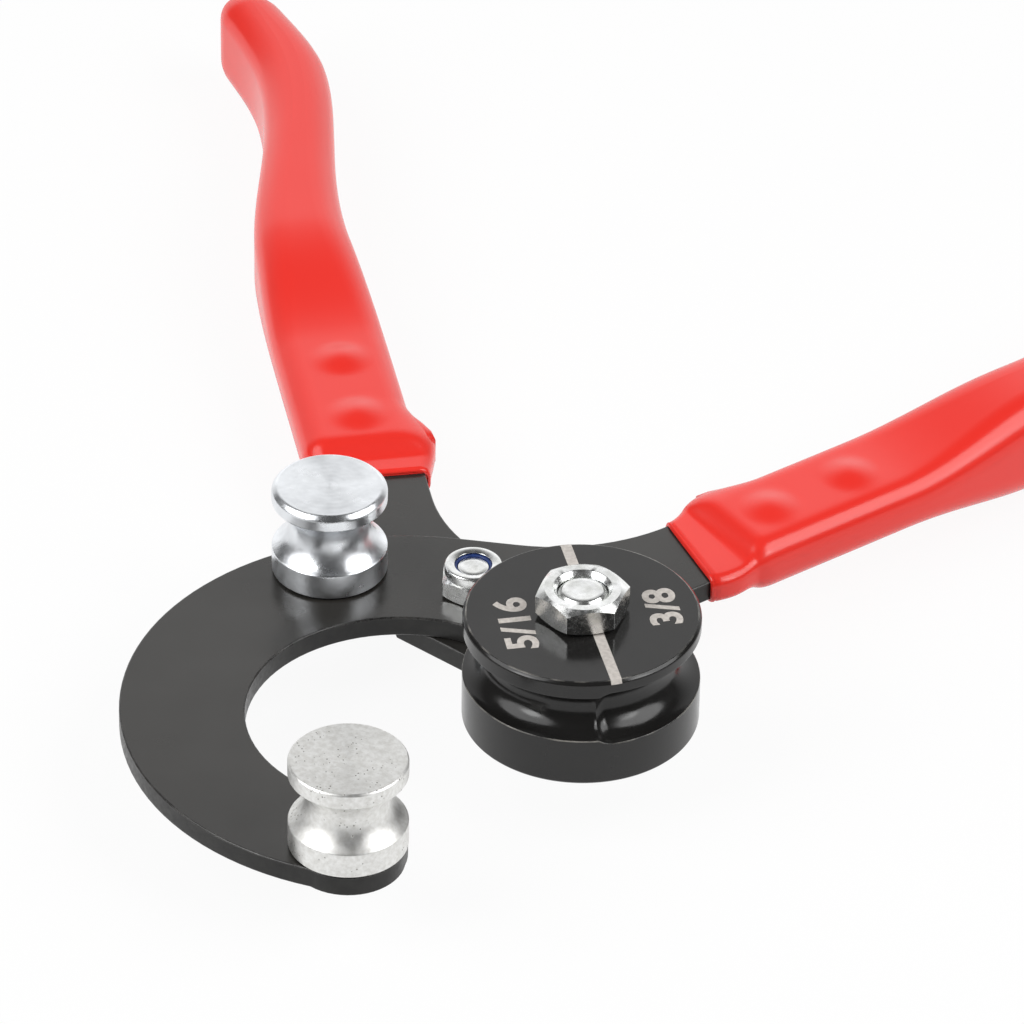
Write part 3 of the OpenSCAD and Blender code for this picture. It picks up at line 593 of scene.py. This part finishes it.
for name, side in (("divider_far", 1), ("divider_near", -1)):
    half_w, across = 0.87, 8
    nut_x, nut_y, rim_x = 1.3, 4.6, 1.32 - side * 0.43
    spread = [half_w * (2 * k / across - 1) for k in range(across + 1)]
    lines = [[(nut_x + x, side * nut_y, mark_t) for x in spread]]
    over_rim = ((18.05, mark_t), (18.12, mark_t - 0.02), (18.58, mark_t - 0.48), (18.61, -0.56))
    for reach, z in over_rim:
        line = [rim_x + x for x in spread]
        lines.append([(x, side * math.sqrt(reach ** 2 - x ** 2), z) for x in line])
    lines += [[(x, y - side * mark_t, z - 2 * mark_t) for x, y, z in line] for line in lines[::-1]]
    points = [p for line in lines for p in line]
    faces = []
    for k in range(len(lines)):
        a, b = k * (across + 1), (k + 1) % len(lines) * (across + 1)
        faces += [(a + i, a + i + 1, b + i + 1, b + i) for i in range(across)]
    for k in range(len(lines) // 2 - 1):
        a, b = k * (across + 1), (len(lines) - 1 - k) * (across + 1)
        c, d = a + across + 1, b - across - 1
        faces += [(a, c, d, b), (a + across, b + across, d + across, c + across)]
    lay_mark(make_piece(name, points, faces, [mark_pale]))
for name, words, span, rise in (
    ("small_tube_mark", "5/16", (-7.9, 5.6), (-8.1, -13.4)),
    ("large_tube_mark", "3/8", (-5.4, 4.1), (15.1, 9.9)),
):
    letters = bpy.data.curves.new(name, "FONT")
    letters.body = words
    letters.size = 1
    letters.offset = 0.03
    letters.extrude = 0.5
    loose = bpy.data.objects.new(name + "_letters", letters)
    bpy.context.scene.collection.objects.link(loose)
    bpy.context.view_layer.update()
    settled = loose.evaluated_get(bpy.context.evaluated_depsgraph_get())
    skin = bpy.data.meshes.new_from_object(settled)
    bpy.data.objects.remove(loose)
    spots = [v.co for v in skin.vertices]
    left, right = min(s.x for s in spots), max(s.x for s in spots)
    foot, head = min(s.y for s in spots), max(s.y for s in spots)
    points = []
    for s in spots:
        along = (s.x - left) / (right - left)
        up = (s.y - foot) / (head - foot)
        points.append((
            rise[0] + (rise[1] - rise[0]) * up,
            span[0] + (span[1] - span[0]) * along,
            mark_t * (1 if s.z > 0 else -1),
        ))
    faces = [tuple(face.vertices) for face in skin.polygons]
    lay_mark(make_piece(name, points, faces, [mark_pale]))

# An M8 bolt comes up through the lower plate and the die, and a plain hexagon nut holds the die on
# it, free to turn. Both are zinc plated like the pivot's bolt.
die_flats, die_shank_r, die_point, die_head_t = 13, 4, 0.75, 3.7
die_bolt_foot, die_bolt_end = (corner.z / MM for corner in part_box("die_bolt"))
die_bolt = hex_bolt(
    "die_hex_bolt", die_bolt_foot, die_bolt_foot + die_head_t, die_bolt_end, die_flats, die_shank_r,
    [fastener_zinc], axis_of("die_bolt"), arm_turn, die_point,
)
stand_for(die_bolt, "die_bolt", "die_arm")
nut_foot, nut_top = (corner.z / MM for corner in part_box("die_nut"))
nut_top -= 0.002
nut_hex = hex_ring(die_flats, arm_turn)
nut_rings = hex_walls(nut_hex, die_flats, nut_foot, nut_top)
nut_mouth = [
    (4.75, nut_top), (4.62, nut_top - 0.06), (4.05, nut_top - 0.75), (4.05, nut_foot + 0.3),
    (4.6, nut_foot),
]
nut_rings += [round_like(nut_hex, r, z) for r, z in nut_mouth]
die_nut = make_skin("die_hex_nut", nut_rings, [fastener_zinc], joined=True)
die_nut.data.set_sharp_from_angle(angle=math.radians(25))
die_nut.location = (die_axis.x, die_axis.y, 0)
stand_for(die_nut, "die_nut", "die_arm")

# Under the vinyl each handle is a steel tube, pressed flat over the plate's tang and held by two
# round headed rivets. They are bare mill steel with a trace of scale.
mill_steel = new_finish("mill_steel", (0.35, 0.345, 0.335), 0.45, 1.0)
mottle(mill_steel, add_noise(mill_steel, 0.15), (0.26, 0.25, 0.24), (0.42, 0.415, 0.405))
vary_gloss(mill_steel, add_noise(mill_steel, 0.6), 0.35, 0.55)
emboss(mill_steel, add_noise(mill_steel, 1.2), 0.01)
for arm in ("jaw", "die"):
    for part in ("handle_tube", "front_rivet", "rear_rivet"):
        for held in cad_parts[arm + "_" + part].material_slots:
            held.material = mill_steel

# The handles are dipped in red vinyl. It is a millimetre or so thick, thins to a cuff over the
# plate's neck, swells over the rivet heads and closes round the tube's end. Lengths run along the
# handle from its front rivet.
tube_mouth, flat_to, round_by, slim_by = -7.55, 22.2, 53.2, 89
bend_from, hook_from, hook_to = 50, 102.5, 139.5
bend_in, hook_out = -6, 6.4
flat_w, flat_t, flat_edge_r = 16.9, 7.2, 1.6
palm_w, palm_t, palm_edge_r = 9.9, 16, 3.8
end_slim, end_slim_by = 0.85, 128.4
tube_end, end_r, end_pinch = 127.2, 5, 0.8
rivet_pitch = 16.2
shoulder_at, shoulder_len, shoulder_out = -5.5, 10, 11.8
cuff_in, cuff_out, cuff_bow, cuff_to = 9.35, 8.75, 0.9, -8.75
cuff_half_t, cuff_rounding = 2.6, 0.75


def ease(s, start, end):
    t = min(1, max(0, (s - start) / (end - start)))
    return t * t * (3 - 2 * t)


def blend(a, b, t):
    return a + (b - a) * t


def middle_at(s, shift):
    bend = blend(shift, bend_in, ease(s, bend_from, hook_from))
    return bend + hook_out * ease(s, hook_from, hook_to)


def tube_size(s):
    half_w = blend(flat_w, palm_w, ease(s, flat_to, slim_by)) / 2
    half_w -= end_slim * ease(s, hook_from, end_slim_by)
    rounding = ease(s, flat_to, round_by)
    half_t = blend(flat_t, palm_t, rounding) / 2
    return half_w, half_t, blend(flat_edge_r, palm_edge_r, rounding)


def rounded_box(half_w, half_t, edge_r):
    corners, flats, walls = 8, 12, 4
    ring = []
    for quarter in range(4):
        sx, sz = ((1, 1), (-1, 1), (-1, -1), (1, -1))[quarter]
        for k in range(corners + 1):
            a = math.pi / 2 * (quarter + k / corners)
            ring.append((
                sx * (half_w - edge_r) + edge_r * math.cos(a),
                sz * (half_t - edge_r) + edge_r * math.sin(a),
            ))
        inner = flats if quarter % 2 == 0 else walls
        for k in range(1, inner):
            t = 2 * k / inner - 1
            if quarter % 2 == 0:
                ring.append((-sx * t * (half_w - edge_r), sz * half_t))
            else:
                ring.append((sx * half_w, -sz * t * (half_t - edge_r)))
    return ring


def rivet_swell(x, s, height, reach):
    near = min(s * s, (s - rivet_pitch) ** 2)
    return height * ease(1 - math.sqrt(x * x + near) / reach, 0, 1)


def shoulder_bulge(s):
    return ease(shoulder_len - abs(s - shoulder_at), 0, shoulder_len)


def sock_ring(s, shift, half_w, half_t, edge_r, swell=(0, 1)):
    middle = middle_at(s, shift)
    spread = shoulder_bulge(s) * max(0, shoulder_out + middle - half_w) if swell[0] else 0
    ring = []
    for x, z in rounded_box(half_w, half_t, edge_r):
        inward = max(0, (edge_r - half_w - x) / edge_r)
        lift = rivet_swell(x + middle, s, *swell)
        ring.append((x + middle - spread * inward, s, z + math.copysign(lift, z)))
    return ring


def along_tube(s, shift, grow, swell=(0, 1), soft=0.0):
    wall_left = 0.4
    half_w, half_t, edge_r = tube_size(s)
    half_t += grow
    edge_r = min(edge_r + grow + soft, half_t - wall_left)
    return sock_ring(s, shift, half_w + grow, half_t, edge_r, swell)


def round_end(turn, shift, grow):
    wall_left = 0.2
    s = tube_end - end_r * (1 - math.sin(turn)) + grow * math.sin(turn)
    pinch = end_r * (1 - math.cos(turn)) * end_pinch
    half_w, half_t, edge_r = (size + grow for size in tube_size(s))
    half_w, half_t = half_w - pinch, half_t - pinch
    edge_r = min(edge_r, half_w - wall_left, half_t - wall_left)
    return sock_ring(s, shift, half_w, half_t, edge_r)


def cuff_ring(s, half_t, reach_in, reach_out, edge_r, slope):
    ring = []
    for x, z in rounded_box((reach_in + reach_out) / 2, half_t, edge_r):
        x += (reach_out - reach_in) / 2
        ring.append((x, s + slope * x, z))
    return ring


def cuff_skin(s, lead, slope, draw_in=0.0):
    k = min(1, (s + lead) / (lead + cuff_to))
    reach_in = blend(cuff_in, shoulder_out, shoulder_bulge(s))
    reach_out = cuff_out + cuff_bow * math.sin(math.pi * max(0, k))
    half_t = cuff_half_t - draw_in
    return cuff_ring(
        s, half_t, reach_in - draw_in, reach_out - draw_in, half_t * cuff_rounding, slope * (1 - k)
    )


def dipped_grip(name, shift, lead, slope, finish, place):
    skin_t, gap = 1.2, 0.05
    edge_soft, soft_from, soft_to = 1.2, 30, 70
    over_head, over_rivet = (1.35, 11), (1.0, 5.5)
    round_from = tube_end - end_r
    inside = [round_end(math.radians(a), shift, gap) for a in (70, 50, 25)]
    inside += [along_tube(round_from - 4 * k, shift, gap) for k in range(25)]
    inside += [along_tube(flat_to - 2.01 * k, shift, gap, over_head) for k in range(15)]
    inside.append(along_tube(tube_mouth, shift, gap))
    neck_half_t, neck_out, neck_in, neck_in_front = 1.8, 7.95, 10.15, 8.55
    inside.append(cuff_ring(tube_mouth, neck_half_t, neck_in, neck_out, gap, 0))
    inside.append(cuff_ring(-lead, neck_half_t, neck_in_front, neck_out, gap, slope))
    lip = 0.42
    outside = []
    for k in range(5):
        turn = math.pi / 2 * (1 - k / 4)
        s = -lead + lip * (1 - math.sin(turn))
        outside.append(cuff_skin(s, lead, slope, lip * (1 - math.cos(turn))))
    outside = outside[::-1]
    foot_at, mouth_at, swells_to = -10.8, -4.5, 26
    outside += [cuff_skin(blend(-lead + lip, foot_at, k / 10), lead, slope) for k in range(1, 11)]
    for k in range(1, 24):
        s = blend(foot_at, mouth_at, k / 24)
        rise = 1 - (1 - ease(s, foot_at, mouth_at)) ** 2
        cuff = cuff_skin(s, lead, slope)
        sock = along_tube(s, shift, skin_t, over_rivet, edge_soft)
        outside.append([Vector(a).lerp(Vector(b), rise) for a, b in zip(cuff, sock)])
    for k in range(65):
        s = blend(mouth_at, swells_to, k / 64)
        outside.append(along_tube(s, shift, skin_t, over_rivet, edge_soft))
    for k in range(1, 81):
        s = blend(swells_to, round_from, k / 80)
        soft = edge_soft * (1 - ease(s, soft_from, soft_to))
        outside.append(along_tube(s, shift, skin_t, soft=soft))
    outside += [round_end(math.radians(6 * k), shift, skin_t) for k in range(1, 15)]
    grip = make_skin(name, inside + outside, [finish])
    grip.data.transform(place)
    if place.determinant() < 0:
        grip.data.flip_normals()
    grip.data.set_sharp_from_angle(angle=math.radians(70))
    wave, sag, mean_flow = 9 * MM, 0.02 * MM, 1.6
    for v in grip.data.vertices:
        flow = mean_flow + noise.noise(v.co / wave)
        v.co -= v.normal * flow * sag
    return grip


vinyl_red = new_finish("dipped_red_vinyl", (0.87, 0.034, 0.023), 0.28)
mottle(
    vinyl_red, add_noise(vinyl_red, 0.03, detail=1),
    (0.85, 0.031, 0.021), (0.89, 0.037, 0.026), 0.1, 0.9,
)
vary_gloss(vinyl_red, add_noise(vinyl_red, 0.06, detail=1), 0.21, 0.265, 0.1, 0.9)
emboss(vinyl_red, add_noise(vinyl_red, 0.1, detail=1), 0.015)
jaw_place = Matrix.Translation(axis_of("jaw_front_rivet")) @ Matrix.Rotation(-arm_turn, 4, "Z")
die_place = Matrix.Translation(axis_of("die_front_rivet")) @ Matrix.Rotation(arm_turn, 4, "Z")
die_place = die_place @ Matrix.Scale(-1, 4, (1, 0, 0))
for arm, shift, lead, slope, place in (
    ("jaw", -0.2, 16, -0.22, jaw_place),
    ("die", 0.7, 14.3, 0.03, die_place),
):
    grip = dipped_grip(arm + "_dipped_grip", shift, lead, slope, vinyl_red, place)
    stand_for(grip, arm + "_handle_grip", arm + "_arm")

# The tool lies on a white studio table between two large soft lamps, with a small one nearer to the
# camera on each side. A pale screen stands behind it, and the rest of the room is dark.
table_z = cad_box[0][2] - 0.0001
half = 3000
table_points = [(-half, -half, 0), (half, -half, 0), (half, half, 0), (-half, half, 0)]
table = make_piece("studio_table", table_points, [(0, 1, 2, 3)], [])
table.location.z = table_z
table_white = bpy.data.materials.new("white_table")
table_white.use_nodes = True
wires = table_white.node_tree
wires.nodes.clear()
surface = wires.nodes.new("ShaderNodeOutputMaterial")
matt = wires.nodes.new("ShaderNodeBsdfDiffuse")
matt.inputs["Color"].default_value = (0.88, 0.88, 0.88, 1)
glow = wires.nodes.new("ShaderNodeEmission")
glow.inputs["Strength"].default_value = 1.0
seen = wires.nodes.new("ShaderNodeLightPath")
either = wires.nodes.new("ShaderNodeMath")
either.operation = "MAXIMUM"
any_ray = wires.nodes.new("ShaderNodeMath")
any_ray.operation = "MAXIMUM"
share = wires.nodes.new("ShaderNodeMath")
share.operation = "MULTIPLY"
share.inputs[1].default_value = 0.93
mixed = wires.nodes.new("ShaderNodeMixShader")
wires.links.new(seen.outputs["Is Camera Ray"], either.inputs[0])
wires.links.new(seen.outputs["Is Glossy Ray"], either.inputs[1])
wires.links.new(either.outputs[0], any_ray.inputs[0])
wires.links.new(seen.outputs["Is Transmission Ray"], any_ray.inputs[1])
wires.links.new(any_ray.outputs[0], share.inputs[0])
wires.links.new(share.outputs[0], mixed.inputs["Fac"])
wires.links.new(matt.outputs[0], mixed.inputs[1])
wires.links.new(glow.outputs[0], mixed.inputs[2])
wires.links.new(mixed.outputs[0], surface.inputs["Surface"])
table.data.materials.append(table_white)

tent = bpy.data.worlds.new("pale_screen")
bpy.context.scene.world = tent
tent.use_nodes = True
wires = tent.node_tree
backdrop = wires.nodes["Background"]
sky = wires.nodes.new("ShaderNodeTexCoord")
facing = wires.nodes.new("ShaderNodeVectorMath")
facing.operation = "DOT_PRODUCT"
facing.inputs[1].default_value = (-0.37, 0.929, 0.0)
tone = wires.nodes.new("ShaderNodeValToRGB")
tone.color_ramp.elements[0].position = 0.77
tone.color_ramp.elements[0].color = (0.06, 0.06, 0.06, 1)
tone.color_ramp.elements[1].position = 0.92
tone.color_ramp.elements[1].color = (1, 1, 1, 1)
lifted = wires.nodes.new("ShaderNodeMapRange")
lifted.inputs["From Min"].default_value = -1
wires.links.new(sky.outputs["Generated"], facing.inputs[0])
wires.links.new(facing.outputs["Value"], lifted.inputs["Value"])
wires.links.new(lifted.outputs["Result"], tone.inputs["Fac"])
wires.links.new(tone.outputs["Color"], backdrop.inputs["Color"])
backdrop.inputs["Strength"].default_value = 1.2


def soft_lamp(name, at, size, watts):
    glow = bpy.data.lights.new(name, "AREA")
    glow.shape = "DISK"
    glow.size = size
    glow.energy = watts
    lamp = bpy.data.objects.new(name, glow)
    lamp.location = at
    tool_middle = Vector((0, 0.03, 0))
    lamp.rotation_euler = (tool_middle - Vector(at)).to_track_quat("-Z", "Y").to_euler()
    bpy.context.scene.collection.objects.link(lamp)


soft_lamp("right_lamp", (0.985, 0.203, 0.973), 1.1, 11.5)
soft_lamp("left_lamp", (-0.774, -0.642, 0.973), 1.3, 12.5)
soft_lamp("right_spark", (1.044, -0.209, 0.746), 0.45, 1.8)
soft_lamp("left_spark", (-0.616, -0.868, 0.746), 0.45, 2.6)

bpy.context.view_layer.update()
